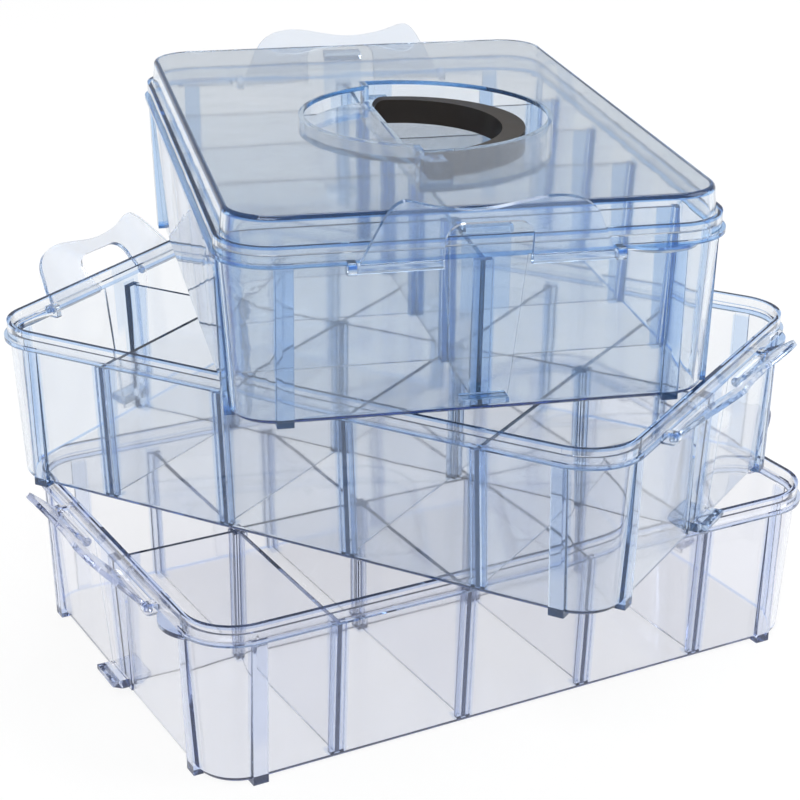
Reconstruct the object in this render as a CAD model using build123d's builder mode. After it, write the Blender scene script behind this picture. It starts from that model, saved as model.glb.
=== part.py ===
from build123d import *
from math import cos, radians, sin
import os

# Clear plastic storage box of three stacking trays, in millimetres.
# Origin at the centre of the bottom tray's underside, X along its long side, Z up.
# The trays are fanned: each stands across the rim of the one below.

os.makedirs("parts", exist_ok=True)

# Tray
TRAY_LENGTH = 245.0
TRAY_WIDTH = 165.0
TRAY_HEIGHT = 60.0
RIM_CORNER = 19.0
BAND_HEIGHT = 6.5
BAND_THICK = 1.6
BEAD_PROUD = 1.2
BEAD_HEIGHT = 1.4
WALL_TOP_INSET = 0.8
WALL_FOOT_INSET = 4.0
WALL_THICK = 1.9
FLOOR_THICK = 1.8
FOOT_ROUND = 3.0
NEST_DEPTH = 3.3

# Ribs, dividers and compartments
COLUMNS = 5
PARTITION_TOP = 51.5
CENTRE_WALL_THICK = 1.6
CENTRE_END_WIDTH = 6.0
CENTRE_END_DEPTH = 3.0
DIVIDER_THICK = 1.6
DIVIDER_GAP = 0.3
SLOT_WIDTH = 2.0
GUIDE_THICK = 1.5
GUIDE_DEPTH = 2.2
CORNER_RIB_WIDTH = 5.5
SHORT_SIDE_RIB_Y = 63.0
LONG_SIDE_RIB_X = 103.0

# Wing latches, one hinged on each short side of each tray
WING_HALF = 41.0
WING_HUMP = 21.5
WING_DIP = 18.6
WING_THICK = 1.8
WINDOW_WIDTH = 28.0
WINDOW_TOP = 13.8
WINDOW_CORNER = 6.0
HINGE_OUT = 2.6
HINGE_DROP = 7.4
BARREL_RADIUS = 1.7
PIN_RADIUS = 1.0
PIN_BORE_RADIUS = 1.06
PIN_LENGTH = 2.6
EYE_GAP = 0.4
EYE_RADIUS = 2.2

# Catches that the wings snap over
CATCH_WIDTH = 15.0
CATCH_LOW = 4.0
CATCH_HIGH = 7.3
CATCH_REACH = 3.7

# Lid and its recessed folding handle
LID_RISE = 8.8
LID_FOOT_INSET = 2.0
LID_TOP_INSET = 3.0
LID_THICK = 1.8
LID_EDGE_ROUND = 1.6
WELL_RADIUS = 52.0
WELL_STRAIGHT_Y = 4.0
WELL_DEPTH = 14.0
SCOOP_HALF = 45.0
SCOOP_REACH = 32.0
SCOOP_DEPTH = 6.0
HANDLE_RADIUS = 44.0
HANDLE_TALL = 9.0
HANDLE_ARM = 5.5
HANDLE_GRIP = 8.5
HANDLE_SINK = 4.3
HANDLE_PIVOT_Y = -1.5
HANDLE_PIN_RADIUS = 1.6
HANDLE_BORE_RADIUS = 1.68

# Where the trays stand in the fanned stack: centre and turn about Z
SEAT_GAP = 0.1
MIDDLE_CENTRE = (-5.1, 7.5)
MIDDLE_TURN = -57.6
TOP_CENTRE = (7.05, 25.3)
TOP_TURN = 73.3

# Outward lean of each wing at rest, degrees from upright
WING_LEAN = {
    "bottom_left": 45.0,
    "bottom_right": 45.0,
    "middle_left": 40.0,
    "middle_right": 50.0,
    "top_front": 12.0,
    "top_back": 12.0,
}

HALF_LENGTH = TRAY_LENGTH / 2
HALF_WIDTH = TRAY_WIDTH / 2
BAND_BOTTOM = TRAY_HEIGHT - BAND_HEIGHT
LEDGE_Z = TRAY_HEIGHT - NEST_DEPTH
HINGE_X = HALF_LENGTH + HINGE_OUT
HINGE_Z = TRAY_HEIGHT - HINGE_DROP
LID_TOP = TRAY_HEIGHT + LID_RISE
LID_FOOT = LEDGE_Z + 0.1
RIB_FOOT_INSET = BAND_THICK + 0.3
CELL_PITCH = TRAY_LENGTH / COLUMNS
DIVIDER_XS = [(i - COLUMNS / 2) * CELL_PITCH for i in range(1, COLUMNS)]
HANDLE_PIVOT_Z = LID_TOP - HANDLE_SINK - HANDLE_TALL / 2
SHORT_SIDES = (0, 180)
LONG_SIDES = (90, 270)


def wall_inset(z):
    """How far the tapering wall's outer face lies inside the band at height z."""
    return WALL_FOOT_INSET + (WALL_TOP_INSET - WALL_FOOT_INSET) * z / BAND_BOTTOM


def half_size(turn):
    """Half the tray's size towards the side that faces this way."""
    return HALF_LENGTH if turn in SHORT_SIDES else HALF_WIDTH


def side_plane(turn, along=0.0):
    """An upright plane square to a side: x points out of it, y up, at a distance along it."""
    out = Vector(cos(radians(turn)), sin(radians(turn)), 0)
    sideways = Vector(-out.Y, out.X, 0)
    return Plane(origin=sideways * along, x_dir=out, z_dir=Vector(out.Y, -out.X, 0))


def rim_outline(inset):
    """The tray's rounded rectangle, drawn in by inset, in the current sketch."""
    RectangleRounded(TRAY_LENGTH - 2 * inset, TRAY_WIDTH - 2 * inset, RIM_CORNER - inset)


def stand_plane(centre, turn, height):
    """The plane that a tray stands on in the fanned stack."""
    return Plane(origin=(*centre, height), x_dir=(cos(radians(turn)), sin(radians(turn)), 0))


def write_piece(piece, name, stand, shift=(0, 0, 0)):
    """Puts a finished piece at its stand, labels it and writes its STEP file."""
    placed = piece.part.moved(stand.location * Location(shift))
    placed.label = name
    export_step(placed, f"parts/{name}.step")


def build_tray():
    """One tray: tapering walls, rim band and bead, ribs, centre wall, guides, hinge eyes and catches."""
    with BuildPart() as tray:
        # Tapering outer body with a rounded foot
        with BuildSketch(Plane.XY):
            rim_outline(WALL_FOOT_INSET)
        with BuildSketch(Plane.XY.offset(BAND_BOTTOM + 0.5)):
            rim_outline(WALL_TOP_INSET)
        loft(ruled=True)
        fillet(tray.faces().sort_by(Axis.Z)[0].edges(), FOOT_ROUND)

        # Rim band, and the bead under it, open where a wing hangs
        with BuildSketch(Plane.XY.offset(BAND_BOTTOM)):
            rim_outline(0)
        extrude(amount=BAND_HEIGHT)
        with BuildSketch(Plane.XY.offset(BAND_BOTTOM - 0.2)):
            rim_outline(-BEAD_PROUD)
            with Locations((HALF_LENGTH + BEAD_PROUD, 0), (-HALF_LENGTH - BEAD_PROUD, 0)):
                Rectangle(2 * BEAD_PROUD, 2 * (WING_HALF + EYE_GAP + PIN_LENGTH), mode=Mode.SUBTRACT)
        extrude(amount=BEAD_HEIGHT)

        # Corner ribs, whose feet rest on the ledge of the tray below
        for turn, along in [(t, SHORT_SIDE_RIB_Y) for t in SHORT_SIDES] + [(t, LONG_SIDE_RIB_X) for t in LONG_SIDES]:
            reach = half_size(turn)
            for place in (along, -along):
                with BuildSketch(side_plane(turn, place)):
                    with BuildLine():
                        Polyline(
                            (reach - WALL_FOOT_INSET - FOOT_ROUND, 0),
                            (reach - RIB_FOOT_INSET, 0),
                            (reach - 0.2, BAND_BOTTOM),
                            (reach - WALL_TOP_INSET - 1, BAND_BOTTOM),
                            close=True,
                        )
                    make_face()
                extrude(amount=CORNER_RIB_WIDTH / 2, both=True)

        # Raised strip down the middle of each short side, on the wall's slope
        for turn in SHORT_SIDES:
            out = side_plane(turn).x_dir
            slope = Vector(0, 0, BAND_BOTTOM) + out * (WALL_FOOT_INSET - WALL_TOP_INSET)
            across = Vector(-out.Y, out.X, 0)
            face = Plane(
                origin=out * (HALF_LENGTH - WALL_FOOT_INSET),
                x_dir=across,
                z_dir=across.cross(slope).normalized(),
            )
            with BuildSketch(face):
                with BuildLine():
                    Polyline((-8.5, 3), (8.5, 3), (13.5, BAND_BOTTOM), (-13.5, BAND_BOTTOM), close=True)
                make_face()
            extrude(amount=0.9, both=True)

        # Hollow, with a ledge under the rim for the feet of the tray above
        with BuildSketch(Plane.XY.offset(FLOOR_THICK)):
            rim_outline(wall_inset(FLOOR_THICK) + WALL_THICK)
        with BuildSketch(Plane.XY.offset(LEDGE_Z + 0.01)):
            rim_outline(WALL_TOP_INSET + WALL_THICK)
        loft(ruled=True, mode=Mode.SUBTRACT)
        with BuildSketch(Plane.XY.offset(LEDGE_Z)):
            rim_outline(BAND_THICK)
        extrude(amount=NEST_DEPTH + 1, mode=Mode.SUBTRACT)

        # Centre wall from end to end, thickened where it joins the short sides
        inner_foot = HALF_LENGTH - wall_inset(FLOOR_THICK) - WALL_THICK
        inner_top = HALF_LENGTH - wall_inset(PARTITION_TOP) - WALL_THICK
        with BuildSketch(Plane.XZ):
            with BuildLine():
                Polyline(
                    (-inner_foot - 0.5, FLOOR_THICK - 0.3),
                    (inner_foot + 0.5, FLOOR_THICK - 0.3),
                    (inner_top + 0.5, PARTITION_TOP),
                    (-inner_top - 0.5, PARTITION_TOP),
                    close=True,
                )
            make_face()
        extrude(amount=CENTRE_WALL_THICK / 2, both=True)
        for turn in SHORT_SIDES:
            with BuildSketch(side_plane(turn)):
                with BuildLine():
                    Polyline(
                        (inner_foot - CENTRE_END_DEPTH, FLOOR_THICK - 0.3),
                        (inner_foot + 0.5, FLOOR_THICK - 0.3),
                        (inner_top + 0.5, PARTITION_TOP),
                        (inner_top - CENTRE_END_DEPTH, PARTITION_TOP),
                        close=True,
                    )
                make_face()
            extrude(amount=CENTRE_END_WIDTH / 2, both=True)

        # Pairs of guide ribs that hold the dividers, on the long walls and the centre wall
        wall_foot = HALF_WIDTH - wall_inset(FLOOR_THICK) - WALL_THICK
        wall_top = HALF_WIDTH - wall_inset(PARTITION_TOP) - WALL_THICK
        guide_offset = (SLOT_WIDTH + GUIDE_THICK) / 2
        for turn in LONG_SIDES:
            for x in DIVIDER_XS:
                for side in (-guide_offset, guide_offset):
                    with BuildSketch(side_plane(turn, x + side)):
                        with BuildLine():
                            Polyline(
                                (wall_foot - GUIDE_DEPTH, FLOOR_THICK - 0.3),
                                (wall_foot + 0.5, FLOOR_THICK - 0.3),
                                (wall_top + 0.5, PARTITION_TOP),
                                (wall_top - GUIDE_DEPTH, PARTITION_TOP),
                                close=True,
                            )
                        make_face()
                    extrude(amount=GUIDE_THICK / 2, both=True)
        with BuildSketch(Plane.XY.offset(FLOOR_THICK - 0.3)):
            for x in DIVIDER_XS:
                with Locations((x - guide_offset, 0), (x + guide_offset, 0)):
                    Rectangle(GUIDE_THICK, CENTRE_WALL_THICK + 2 * GUIDE_DEPTH)
        extrude(amount=PARTITION_TOP - FLOOR_THICK + 0.3)

        # Catch at the foot of each short side, ramped underneath
        catch_tip = HALF_LENGTH + CATCH_REACH
        catch_root = HALF_LENGTH - WALL_FOOT_INSET - 1
        for turn in SHORT_SIDES:
            with BuildSketch(side_plane(turn)):
                with BuildLine():
                    Polyline(
                        (catch_root, CATCH_LOW),
                        (catch_root + 5, CATCH_LOW),
                        (catch_tip, CATCH_LOW + 1.6),
                        (catch_tip, CATCH_HIGH),
                        (catch_root, CATCH_HIGH),
                        close=True,
                    )
                make_face()
            extrude(amount=CATCH_WIDTH / 2, both=True)

        # Hinge eyes at both ends of each wing, bored for its pins
        eye_middle = WING_HALF + EYE_GAP + PIN_LENGTH / 2
        for turn in SHORT_SIDES:
            for place in (eye_middle, -eye_middle):
                with BuildSketch(side_plane(turn, place)):
                    with Locations((HALF_LENGTH + HINGE_OUT / 2 - 0.75, HINGE_Z)):
                        Rectangle(HINGE_OUT + 1.5, 2 * EYE_RADIUS)
                    with Locations((HINGE_X, HINGE_Z)):
                        Circle(EYE_RADIUS)
                        Circle(PIN_BORE_RADIUS, mode=Mode.SUBTRACT)
                extrude(amount=PIN_LENGTH / 2, both=True)

        # Thumb tab under the band, to the right of each wing as seen from outside
        for turn in SHORT_SIDES:
            out = side_plane(turn).x_dir
            ledge = Plane(
                origin=out * (HALF_LENGTH - 1) + Vector(-out.Y, out.X, 0) * 57.5 + Vector(0, 0, BAND_BOTTOM - 1.2),
                x_dir=Vector(-out.Y, out.X, 0),
                z_dir=Vector(0, 0, 1),
            )
            with BuildSketch(ledge):
                with BuildLine():
                    rim_line = Line((-11.5, 0), (11.5, 0))
                    ThreePointArc(rim_line @ 1, (0, -5.5), rim_line @ 0)
                make_face()
            extrude(amount=1.6)
    return tray


def build_divider(side):
    """A loose cross divider for the compartments on one side, +1 or -1, of the centre wall."""
    low = CENTRE_WALL_THICK / 2 + DIVIDER_GAP
    foot = FLOOR_THICK + 0.15
    high_foot = HALF_WIDTH - wall_inset(foot) - WALL_THICK - DIVIDER_GAP
    high_top = HALF_WIDTH - wall_inset(PARTITION_TOP) - WALL_THICK - DIVIDER_GAP
    with BuildPart() as divider:
        with BuildSketch(Plane.YZ):
            with BuildLine():
                Polyline(
                    (side * low, foot),
                    (side * high_foot, foot),
                    (side * high_top, PARTITION_TOP),
                    (side * low, PARTITION_TOP),
                    close=True,
                )
            make_face()
        extrude(amount=DIVIDER_THICK / 2, both=True)
    return divider


def build_wing(turn, lean):
    """A wing latch on the short side that faces turn, leaning out from upright by lean degrees."""
    out = side_plane(turn).x_dir
    across = Vector(-out.Y, out.X, 0)
    up = Vector(0, 0, cos(radians(lean))) + out * sin(radians(lean))
    plate = Plane(
        origin=out * HINGE_X + Vector(0, 0, HINGE_Z),
        x_dir=across,
        z_dir=across.cross(up).normalized(),
    )
    with BuildPart() as wing:
        # Plate with two humps and a dip between them
        with BuildSketch(plate):
            with BuildLine():
                foot = Line((-WING_HALF, 0), (WING_HALF, 0))
                right = Line(foot @ 1, (WING_HALF - 6.0, 13.5))
                crest = Spline(
                    right @ 1,
                    (WING_HALF - 18.0, WING_HUMP),
                    (0, WING_DIP),
                    (18.0 - WING_HALF, WING_HUMP),
                    (6.0 - WING_HALF, 13.5),
                    tangents=((-6.0, 13.5), (-6.0, -13.5)),
                )
                Line(crest @ 1, foot @ 0)
            make_face()
        extrude(amount=WING_THICK / 2, both=True)

        # Hinge barrel and its end pins
        with BuildSketch(Plane(origin=plate.origin, z_dir=across)):
            Circle(BARREL_RADIUS)
        extrude(amount=WING_HALF, both=True)
        with BuildSketch(Plane(origin=plate.origin, z_dir=across)):
            Circle(PIN_RADIUS)
        extrude(amount=WING_HALF + EYE_GAP + PIN_LENGTH - 0.2, both=True)

        # Window that snaps over the catch, open at the foot
        with BuildSketch(plate):
            with Locations((0, WINDOW_TOP / 2 - WINDOW_CORNER)):
                RectangleRounded(WINDOW_WIDTH, WINDOW_TOP + 2 * WINDOW_CORNER, WINDOW_CORNER)
        extrude(amount=2 * BARREL_RADIUS, both=True, mode=Mode.SUBTRACT)
    return wing


def cut_disc(radius, centre_y, cut_y, keep):
    """A disc in the current sketch, cut straight at cut_y, keeping the side above (+1) or below (-1)."""
    with Locations((0, centre_y)):
        Circle(radius)
    with Locations((0, cut_y - keep * 1.5 * radius)):
        Rectangle(3 * radius, 3 * radius, mode=Mode.SUBTRACT)


def well_outline(grow):
    """Plan of the deep half of the lid's recess, cut straight along the pivots."""
    cut_disc(WELL_RADIUS + grow, 0, WELL_STRAIGHT_Y + grow, -1)


def scoop_outline(grow):
    """Plan of the shallow half of the recess, where fingers reach under the handle."""
    half, reach = SCOOP_HALF + grow, SCOOP_REACH + 1 + grow
    radius = (half**2 + reach**2) / (2 * reach)
    cut_disc(radius, WELL_STRAIGHT_Y - 1 + reach - radius, WELL_STRAIGHT_Y - 1, 1)


def build_lid():
    """The lid: a shallow cap that seats on the rim ledge, with the handle's recess and two catches."""
    well_floor = LID_TOP - WELL_DEPTH
    scoop_floor = LID_TOP - SCOOP_DEPTH
    with BuildPart() as lid:
        # Cap
        with BuildSketch(Plane.XY.offset(LID_FOOT)):
            rim_outline(LID_FOOT_INSET)
        with BuildSketch(Plane.XY.offset(LID_TOP)):
            rim_outline(LID_TOP_INSET)
        loft(ruled=True)
        fillet(lid.faces().sort_by(Axis.Z)[-1].edges(), LID_EDGE_ROUND)
        with BuildSketch(Plane.XY.offset(LID_FOOT - 0.01)):
            rim_outline(LID_FOOT_INSET + LID_THICK)
        with BuildSketch(Plane.XY.offset(LID_TOP - LID_THICK)):
            rim_outline(LID_TOP_INSET + LID_THICK)
        loft(ruled=True, mode=Mode.SUBTRACT)

        # Recess for the handle: a deep well and a shallow scoop
        with BuildSketch(Plane.XY.offset(well_floor - LID_THICK)):
            well_outline(LID_THICK)
        extrude(amount=WELL_DEPTH + LID_THICK)
        with BuildSketch(Plane.XY.offset(scoop_floor - LID_THICK)):
            scoop_outline(LID_THICK)
        extrude(amount=SCOOP_DEPTH + LID_THICK)
        with BuildSketch(Plane.XY.offset(well_floor)):
            well_outline(0)
        extrude(amount=WELL_DEPTH, mode=Mode.SUBTRACT)
        with BuildSketch(Plane.XY.offset(scoop_floor)):
            scoop_outline(0)
        extrude(amount=SCOOP_DEPTH, mode=Mode.SUBTRACT)

        # Bosses at both ends of the well, bored for the handle's pins
        for side in (-1, 1):
            boss_inner = HANDLE_RADIUS + 0.5
            with BuildSketch(Plane.YZ.offset(side * boss_inner)):
                with BuildLine():
                    Polyline(
                        (HANDLE_PIVOT_Y - 4.5, well_floor - 0.3),
                        (WELL_STRAIGHT_Y + 0.5, well_floor - 0.3),
                        (WELL_STRAIGHT_Y + 0.5, HANDLE_PIVOT_Z + 3.4),
                        (HANDLE_PIVOT_Y - 2.5, HANDLE_PIVOT_Z + 3.4),
                        (HANDLE_PIVOT_Y - 4.5, HANDLE_PIVOT_Z + 1.4),
                        close=True,
                    )
                make_face()
            extrude(amount=side * (WELL_RADIUS - boss_inner + 0.5))
            with BuildSketch(Plane.YZ.offset(side * boss_inner)):
                with Locations((HANDLE_PIVOT_Y, HANDLE_PIVOT_Z)):
                    Circle(HANDLE_BORE_RADIUS)
            extrude(amount=side * 3.4, mode=Mode.SUBTRACT)

        # Catches above the band, ramped underneath
        catch_tip = HALF_LENGTH + CATCH_REACH
        catch_root = HALF_LENGTH - LID_TOP_INSET - 0.6
        for turn in SHORT_SIDES:
            with BuildSketch(side_plane(turn)):
                with BuildLine():
                    Polyline(
                        (catch_root, TRAY_HEIGHT + 0.8),
                        (catch_tip - 2.5, TRAY_HEIGHT + 0.8),
                        (catch_tip, TRAY_HEIGHT + 2.0),
                        (catch_tip, LEDGE_Z + CATCH_HIGH),
                        (catch_root, LEDGE_Z + CATCH_HIGH),
                        close=True,
                    )
                make_face()
            extrude(amount=CATCH_WIDTH / 2, both=True)
    return lid


def build_handle():
    """The C-shaped carrying handle, folded flat into the well, with its two pivot pins."""
    arm_end = HANDLE_PIVOT_Y + HANDLE_TALL / 2
    inner_x = HANDLE_RADIUS - HANDLE_ARM
    inner_y = HANDLE_RADIUS - HANDLE_GRIP
    with BuildPart() as handle:
        with BuildSketch(Plane.XY.offset(HANDLE_PIVOT_Z - HANDLE_TALL / 2)):
            with BuildLine():
                Line((HANDLE_RADIUS, arm_end), (HANDLE_RADIUS, 0))
                ThreePointArc((HANDLE_RADIUS, 0), (0, -HANDLE_RADIUS), (-HANDLE_RADIUS, 0))
                Polyline((-HANDLE_RADIUS, 0), (-HANDLE_RADIUS, arm_end), (-inner_x, arm_end), (-inner_x, 0))
                EllipticalCenterArc((0, 0), inner_x, inner_y, start_angle=180, arc_size=180)
                Polyline((inner_x, 0), (inner_x, arm_end), (HANDLE_RADIUS, arm_end))
            make_face()
        extrude(amount=HANDLE_TALL)
        ends = handle.faces().filter_by(Axis.Y).group_by(Axis.Y)[-1].edges().filter_by(Axis.X)
        fillet(ends, HANDLE_TALL / 2 - 0.6)
        for side in (-1, 1):
            with BuildSketch(Plane.YZ.offset(side * (HANDLE_RADIUS - 0.5))):
                with Locations((HANDLE_PIVOT_Y, HANDLE_PIVOT_Z)):
                    Circle(HANDLE_PIN_RADIUS)
            extrude(amount=side * 3.5)
    return handle


STANDS = {
    "bottom": Plane.XY,
    "middle": stand_plane(MIDDLE_CENTRE, MIDDLE_TURN, TRAY_HEIGHT + SEAT_GAP),
    "top": stand_plane(TOP_CENTRE, TOP_TURN, 2 * (TRAY_HEIGHT + SEAT_GAP)),
}
WING_TURNS = {
    "bottom_left": ("bottom", 180),
    "bottom_right": ("bottom", 0),
    "middle_left": ("middle", 180),
    "middle_right": ("middle", 0),
    "top_front": ("top", 180),
    "top_back": ("top", 0),
}

tray = build_tray()
dividers = {side: build_divider(side) for side in (-1, 1)}
for level, stand in STANDS.items():
    write_piece(tray, f"{level}_tray", stand)
    number = 0
    for side, divider in dividers.items():
        for x in DIVIDER_XS:
            number += 1
            write_piece(divider, f"{level}_divider_{number}", stand, (x, 0, 0))
for name, (level, turn) in WING_TURNS.items():
    write_piece(build_wing(turn, WING_LEAN[name]), f"{name}_wing", STANDS[level])
write_piece(build_lid(), "lid", STANDS["top"])
write_piece(build_handle(), "handle", STANDS["top"])
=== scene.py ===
from math import cos, radians, sin

import bpy
from mathutils import Matrix, Vector

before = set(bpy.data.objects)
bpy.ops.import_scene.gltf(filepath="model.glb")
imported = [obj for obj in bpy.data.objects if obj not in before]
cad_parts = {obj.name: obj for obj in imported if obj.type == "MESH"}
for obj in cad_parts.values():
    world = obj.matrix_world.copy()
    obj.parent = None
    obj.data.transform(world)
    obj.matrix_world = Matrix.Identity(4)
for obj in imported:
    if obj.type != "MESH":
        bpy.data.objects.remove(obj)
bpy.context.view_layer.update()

# A fanned stack of three clear blue trays with hinged wing latches, a lid and a folding handle.

LEVELS = ("bottom", "middle", "top")

# Camera, fitted to the photograph's angle: metres, degrees, and the lens in millimetres
CAMERA_PLACE = (-0.34072, -0.60555, 0.36597)
CAMERA_TURN = 28.816
CAMERA_DOWN = 21.8128
CAMERA_ROLL = 0.348
CAMERA_LENS = 91.784
CAMERA_SENSOR = 36
CAMERA_NEAR = 0.01

# Sight lines cross up to a dozen clear walls, each with two faces
SIGHT_BOUNCES = 26
GLINT_BOUNCES = 10

# Studio lamps: place, width and power, all facing the middle of the stack
LAMPS = {
    "key": ((-1.1, -1.3, 1.9), 1.4, 42),
    "fill": ((1.5, -0.9, 1.4), 1.6, 25),
    "back": ((0.7, 0.9, 2.2), 1.4, 24),
}
LIT_POINT = (0, 0.01, 0.09)

# White room: brightness overhead next to the horizon's, how steep a look meets it, and
# the strength that is left where the room only lights
WHITE = (1, 1, 1, 1)
CEILING = 0.42
CEILING_FROM = 0.24
ROOM_LIGHT = 0.85

# Pale floor: colour, how much of it glows where it is seen, half its width and its drop
FLOOR_COLOUR = (0.93, 0.935, 0.94, 1)
FLOOR_GLOW = 0.88
FLOOR_REACH = 12.0
FLOOR_DROP = 0.0004

# Clear plastic of each tray: what a metre of it absorbs of red, green and blue
ABSORBS = {
    "bottom": (10.0, 8.0, 3.0),
    "middle": (12.0, 7.5, 3.0),
    "top": (15.0, 8.0, 3.0),
}
DEEPEST_COLOUR = 0.95
SURFACE_TINT = {
    "bottom": (0.975, 0.975, 0.99, 1),
    "middle": (0.970, 0.978, 0.99, 1),
    "top": (0.965, 0.978, 0.992, 1),
}
PALER = 0.55
# The same, tinted deeper where the moulding is thick: ribs, column, catches and bosses
THICK_TINT = {
    "bottom": (0.82, 0.87, 0.98, 1),
    "middle": (0.74, 0.84, 0.975, 1),
    "top": (0.62, 0.76, 0.95, 1),
}
# The outline edges of lid, rim, bead and foot
EDGE_TINT = {
    "bottom": (0.52, 0.64, 0.93, 1),
    "middle": (0.36, 0.56, 0.92, 1),
    "top": (0.16, 0.38, 0.84, 1),
}

# How much light each face scatters, and the blue that it scatters
HAZE = {"bottom": 0.02, "middle": 0.022, "top": 0.03}
THICK_HAZE = 0.045
WING_HAZE = 0.05
HAZE_LEAST = 0.75
HAZE_SWING = 0.5
MILK = {
    "bottom": (0.46, 0.56, 0.92, 1),
    "middle": (0.32, 0.52, 0.92, 1),
    "top": (0.24, 0.48, 0.92, 1),
}
MILK_ROUGHNESS = 0.5

# Clear surface: index, gloss, how much scuffs dull it, and its moulding waves in metres
PLASTIC_IOR = 1.49
POLISH = 0.015
SCUFFED = 0.05
WAVE_STRENGTH = 0.25
WAVE_HEIGHT = 0.0006

# Handle: black to brown as it wears, its sheen, and its moulded grain in metres
HANDLE_BLACK = (0.016, 0.014, 0.013, 1)
HANDLE_BROWN = (0.030, 0.024, 0.020, 1)
HANDLE_ROUGHNESS = 0.40
HANDLE_WORN = 0.14
HANDLE_IOR = 1.5
HANDLE_SHEEN = 0.25
GRAIN_STRENGTH = 0.35
GRAIN_HEIGHT = 0.00012

# Cloud patterns: how fine, as noise scale, with detail and roughness
FLOW = (38.0, 1.0, 0.5)
SCUFFS = (900.0, 2.0, 0.7)
GRAIN = (2600.0, 3.0, 0.6)
WEAR = (70.0, 3.0, 0.5)

# Where each tray stands in the fanned stack: centre, height and turn, in metres and degrees
STANDS = {
    "bottom": ((0.0, 0.0), 0.0, 0.0),
    "middle": ((-0.0051, 0.0075), 0.0601, -57.6),
    "top": ((0.00705, 0.0253), 0.1202, 73.3),
}

# Thick places of a tray, in metres along, aside and up from the middle of its foot.
# A place and its half width, then where it starts or ends the other way.
GUIDE_RIBS = (0.0245, 0.0735)
GUIDE_HALF = 0.0027
GUIDES_AT_WALL = 0.0712
GUIDES_AT_CENTRE = 0.0034
LONG_SIDE_RIB = 0.103
LONG_SIDE_FROM = 0.0772
SHORT_SIDE_RIB = 0.063
SHORT_SIDE_FROM = 0.1172
CORNER_RIB_HALF = 0.0029
COLUMN_HALF = 0.0032
COLUMN_FROM = 0.1108
CATCH_HALF = 0.0077
CATCH_FROM = 0.1212
BOSS = 0.0485
BOSS_HALF_LENGTH = 0.0042
BOSS_HALF = 0.0062
BOSS_FROM = 0.0538
RIBS_TOP = 0.0525

# The rim's outline: where its rounded corners are centred, and their radius
CORNER_ALONG = 0.1035
CORNER_ASIDE = 0.0635
CORNER_RADIUS = 0.019

# Edges of lid, rim and bead: height, half height, and how far past the outline each starts
EDGES = (
    (0.0681, 0.0009, -0.0045),
    (0.0598, 0.0005, -0.0016),
    (0.0538, 0.0006, -0.0004),
)
FOOT_TOP = 0.0016
FOOT_FROM = -0.0060

# Width over which a mask fades out
FADE = 0.0004


class Wire:
    """A number on its way through a finish; a sum on it adds the nodes that work it out."""

    def __init__(self, finish, socket):
        self.finish = finish
        self.socket = socket

    def sum(self, operation, *values):
        return self.finish.node("ShaderNodeMath", {"operation": operation}, values)

    def __add__(self, other):
        return self.sum("ADD", self, other)

    def __sub__(self, other):
        return self.sum("SUBTRACT", self, other)

    def __rsub__(self, other):
        return self.sum("SUBTRACT", other, self)

    def __mul__(self, other):
        return self.sum("MULTIPLY", self, other)

    def __pow__(self, other):
        return self.sum("POWER", self, other)

    __radd__ = __add__
    __rmul__ = __mul__

    def larger(self, other):
        return self.sum("MAXIMUM", self, other)

    def size(self):
        return self.sum("ABSOLUTE", self)

    def below(self, limit):
        """One up to the limit, fading to nought just past it."""
        return self.finish.node(
            "ShaderNodeMapRange",
            {"interpolation_type": "SMOOTHSTEP"},
            {
                "Value": self,
                "From Min": limit,
                "From Max": limit + FADE,
                "To Min": 1.0,
                "To Max": 0.0,
            },
        )

    def above(self, limit):
        return 1 - self.below(limit)

    def near(self, middle, reach):
        return (self - middle).size().below(reach)


class Finish:
    """The node tree of a material or of the world, emptied and built up again."""

    def __init__(self, owner):
        self.owner = owner
        owner.use_nodes = True
        self.tree = owner.node_tree
        self.tree.nodes.clear()

    def node(self, kind, settings=None, inputs=(), output=0):
        """Adds a node: its settings first, then the values or wires of its sockets."""
        made = self.tree.nodes.new(kind)
        for name, value in (settings or {}).items():
            setattr(made, name, value)
        for place, value in inputs.items() if isinstance(inputs, dict) else enumerate(inputs):
            if isinstance(value, Wire):
                self.tree.links.new(value.socket, made.inputs[place])
            else:
                made.inputs[place].default_value = value
        return Wire(self, made.outputs[output]) if made.outputs else None

    def noise(self, scale, detail, roughness):
        """Soft cloud noise in the part's own metres."""
        place = self.node("ShaderNodeTexCoord", output="Object")
        return self.node(
            "ShaderNodeTexNoise",
            {},
            {"Vector": place, "Scale": scale, "Detail": detail, "Roughness": roughness},
            "Fac",
        )

    def bump(self, height, strength, distance):
        return self.node(
            "ShaderNodeBump",
            {},
            {"Strength": strength, "Distance": distance, "Height": height},
            "Normal",
        )

    def blend(self, share, first, second):
        """One colour fading into another."""
        return self.node("ShaderNodeMix", {"data_type": "RGBA"}, {0: share, 6: first, 7: second}, 2)


def tray_measures(finish, level):
    """How far a point lies along, aside and above the middle of its tray's foot."""
    (across, back), height, turn = STANDS[level]
    c, s = cos(radians(turn)), sin(radians(turn))
    place = finish.node("ShaderNodeTexCoord", output="Object")
    x, y, z = (finish.node("ShaderNodeSeparateXYZ", {}, (place,), axis) for axis in "XYZ")
    x, y, z = x - across, y - back, z - height
    return (x * c + y * s).size(), (y * c - x * s).size(), z


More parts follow.
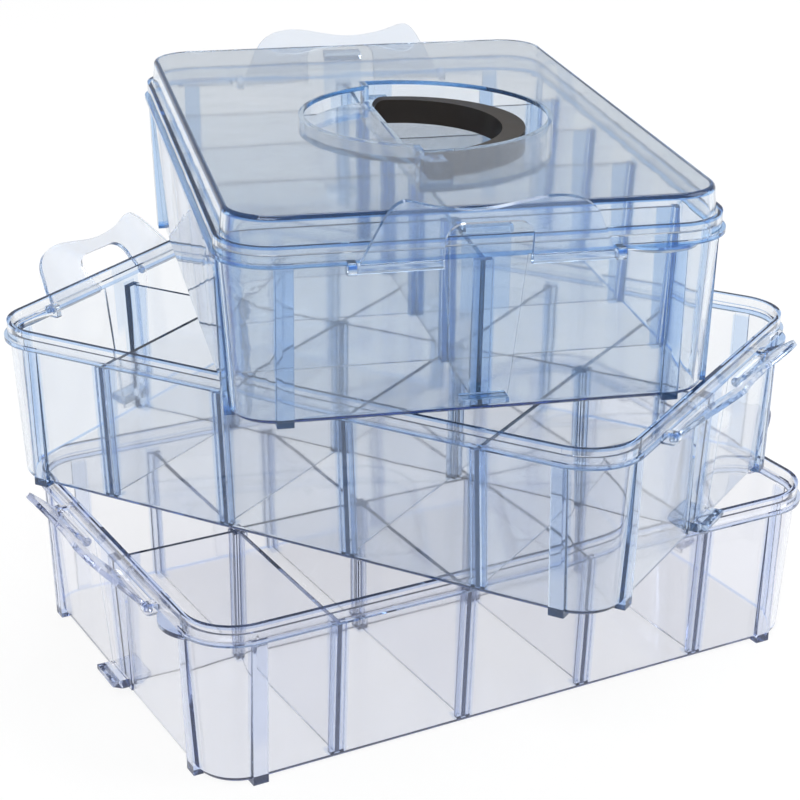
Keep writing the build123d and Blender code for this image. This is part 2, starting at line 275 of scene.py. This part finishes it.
def thick_mask(along, aside, up):
    """Guide ribs, corner ribs, the centre wall's column, catches and the lid's pivot bosses."""
    inner, outer = (along.near(middle, GUIDE_HALF) for middle in GUIDE_RIBS)
    guides = inner.larger(outer) * aside.above(GUIDES_AT_WALL).larger(aside.below(GUIDES_AT_CENTRE))
    long_side = along.near(LONG_SIDE_RIB, CORNER_RIB_HALF) * aside.above(LONG_SIDE_FROM)
    short_side = aside.near(SHORT_SIDE_RIB, CORNER_RIB_HALF) * along.above(SHORT_SIDE_FROM)
    column = aside.below(COLUMN_HALF) * along.above(COLUMN_FROM)
    ribs = guides.larger(long_side).larger(short_side).larger(column) * up.below(RIBS_TOP)
    catch = aside.below(CATCH_HALF) * along.above(CATCH_FROM)
    bosses = along.near(BOSS, BOSS_HALF_LENGTH) * aside.below(BOSS_HALF) * up.above(BOSS_FROM)
    return ribs.larger(catch).larger(bosses)


def edge_mask(along, aside, up):
    """The outline edges of lid, rim, bead and foot."""
    past_along = (along - CORNER_ALONG).larger(0.0)
    past_aside = (aside - CORNER_ASIDE).larger(0.0)
    past_rim = (past_along * past_along + past_aside * past_aside) ** 0.5 - CORNER_RADIUS
    edges = up.below(FOOT_TOP) * past_rim.above(FOOT_FROM)
    for height, half, start in EDGES:
        edges = edges.larger(up.near(height, half) * past_rim.above(start))
    return edges


def clear_plastic(level, name, ribbed=True):
    """Moulded clear plastic: faint flow waves, a breath of haze, and deeper blue where thick."""
    finish = Finish(bpy.data.materials.new(name))
    flow = finish.noise(*FLOW)
    scuffs = finish.noise(*SCUFFS)
    waves = finish.bump(flow, WAVE_STRENGTH, WAVE_HEIGHT)
    tint = SURFACE_TINT[level]
    paler = tuple(1 - (1 - c) * PALER for c in tint[:3]) + (1,)
    colour = finish.blend(flow, tint, paler)
    haze = (HAZE[level] if ribbed else HAZE[level] + WING_HAZE) * (HAZE_LEAST + flow * HAZE_SWING)
    if ribbed:
        measures = tray_measures(finish, level)
        thick = thick_mask(*measures)
        colour = finish.blend(thick, colour, THICK_TINT[level])
        colour = finish.blend(edge_mask(*measures), colour, EDGE_TINT[level])
        haze = haze + thick * THICK_HAZE
    clear = finish.node(
        "ShaderNodeBsdfPrincipled",
        {},
        {
            "Base Color": colour,
            "Roughness": POLISH + scuffs * SCUFFED,
            "IOR": PLASTIC_IOR,
            "Transmission Weight": 1.0,
            "Normal": waves,
        },
    )
    milk = finish.node(
        "ShaderNodeBsdfPrincipled",
        {},
        {
            "Base Color": MILK[level],
            "Roughness": MILK_ROUGHNESS,
            "IOR": PLASTIC_IOR,
            "Normal": waves,
        },
    )
    body = finish.node("ShaderNodeMixShader", {}, (haze, clear, milk))
    absorbs = ABSORBS[level]
    density = max(absorbs) / DEEPEST_COLOUR
    depth = finish.node(
        "ShaderNodeVolumeAbsorption",
        {},
        {"Color": tuple(1 - a / density for a in absorbs) + (1,), "Density": density},
    )
    finish.node("ShaderNodeOutputMaterial", {}, {"Surface": body, "Volume": depth})
    return finish.owner


def handle_plastic():
    """Black moulded grip: fine grain, a soft sheen and browner, duller patches from handling."""
    finish = Finish(bpy.data.materials.new("handle_black"))
    grain = finish.noise(*GRAIN)
    wear = finish.noise(*WEAR)
    body = finish.node(
        "ShaderNodeBsdfPrincipled",
        {},
        {
            "Base Color": finish.blend(wear, HANDLE_BLACK, HANDLE_BROWN),
            "Roughness": HANDLE_ROUGHNESS + wear * HANDLE_WORN,
            "IOR": HANDLE_IOR,
            "Specular IOR Level": HANDLE_SHEEN,
            "Normal": finish.bump(grain, GRAIN_STRENGTH, GRAIN_HEIGHT),
        },
    )
    finish.node("ShaderNodeOutputMaterial", {}, {"Surface": body})
    return finish.owner


def seen(finish):
    """One for what is seen straight, mirrored or through clear plastic, nought for what lights."""
    rays = ("Is Camera Ray", "Is Glossy Ray", "Is Transmission Ray")
    straight, mirrored, through = (finish.node("ShaderNodeLightPath", output=ray) for ray in rays)
    return straight.larger(mirrored).larger(through)


def white_room():
    """A white sweep under a dimmer ceiling, a softer white where it only lights."""
    world = bpy.data.worlds.new("studio")
    bpy.context.scene.world = world
    finish = Finish(world)
    way = finish.node("ShaderNodeTexCoord", output="Generated")
    height = finish.node("ShaderNodeSeparateXYZ", {}, (way,), "Z")
    dimmed = finish.node(
        "ShaderNodeMapRange",
        {"interpolation_type": "SMOOTHSTEP"},
        {
            "Value": height,
            "From Min": 0.0,
            "From Max": CEILING_FROM,
            "To Min": 1.0,
            "To Max": CEILING,
        },
    )
    strength = dimmed * (ROOM_LIGHT + seen(finish) * (1 - ROOM_LIGHT))
    sky = finish.node("ShaderNodeBackground", {}, {"Color": WHITE, "Strength": strength})
    finish.node("ShaderNodeOutputWorld", {}, {"Surface": sky})


def floor():
    """A pale floor that keeps a trace of the stack's shadow."""
    finish = Finish(bpy.data.materials.new("floor_white"))
    matt = finish.node("ShaderNodeBsdfDiffuse", {}, {"Color": FLOOR_COLOUR})
    white = finish.node("ShaderNodeEmission", {}, {"Color": WHITE, "Strength": 1.0})
    mixed = finish.node("ShaderNodeMixShader", {}, (seen(finish) * FLOOR_GLOW, matt, white))
    finish.node("ShaderNodeOutputMaterial", {}, {"Surface": mixed})
    corners = [
        (right * FLOOR_REACH, back * FLOOR_REACH, -FLOOR_DROP)
        for right, back in ((-1, -1), (1, -1), (1, 1), (-1, 1))
    ]
    sheet = bpy.data.meshes.new("floor")
    sheet.from_pydata(corners, [], [(0, 1, 2, 3)])
    sheet.materials.append(finish.owner)
    ground = bpy.data.objects.new("floor", sheet)
    bpy.context.collection.objects.link(ground)


def soft_light(name, place, size, power):
    """A large square lamp aimed at the middle of the stack."""
    lamp = bpy.data.lights.new(name, "AREA")
    lamp.size = size
    lamp.energy = power
    holder = bpy.data.objects.new(name, lamp)
    holder.location = place
    aim = Vector(LIT_POINT) - Vector(place)
    holder.rotation_euler = aim.to_track_quat("-Z", "Y").to_euler()
    bpy.context.collection.objects.link(holder)


def camera():
    """The photograph's view: turned, tipped down and a little rolled."""
    turn, down, roll = radians(CAMERA_TURN), radians(CAMERA_DOWN), radians(CAMERA_ROLL)
    level = Vector((cos(turn), -sin(turn), 0))
    ahead = Vector((sin(turn) * cos(down), cos(turn) * cos(down), -sin(down)))
    above = level.cross(ahead)
    right = level * cos(roll) + above * sin(roll)
    up = above * cos(roll) - level * sin(roll)
    view = bpy.data.cameras.new("camera")
    view.lens = CAMERA_LENS
    view.sensor_width = CAMERA_SENSOR
    view.clip_start = CAMERA_NEAR
    holder = bpy.data.objects.new("camera", view)
    facing = Matrix((right, up, -ahead)).transposed().to_4x4()
    holder.matrix_world = Matrix.Translation(CAMERA_PLACE) @ facing
    bpy.context.collection.objects.link(holder)
    bpy.context.scene.camera = holder


scene = bpy.context.scene
scene.view_settings.view_transform = "Standard"
scene.cycles.max_bounces = SIGHT_BOUNCES
scene.cycles.transmission_bounces = SIGHT_BOUNCES
scene.cycles.glossy_bounces = GLINT_BOUNCES

camera()
white_room()
floor()
for lamp_name, (place, width, power) in LAMPS.items():
    soft_light(lamp_name, place, width, power)

plastics = {level: clear_plastic(level, f"clear_{level}") for level in LEVELS}
thin_plastics = {level: clear_plastic(level, f"clear_thin_{level}", False) for level in LEVELS}
black = handle_plastic()


def finish_of(name):
    """The finish of a CAD piece, by the tray that it belongs to."""
    if name == "handle":
        return black
    if name == "lid":
        return plastics["top"]
    level = name.split("_")[0]
    return thin_plastics[level] if name.endswith("wing") else plastics[level]


for name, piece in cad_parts.items():
    for slot in piece.material_slots:
        slot.material = finish_of(name)
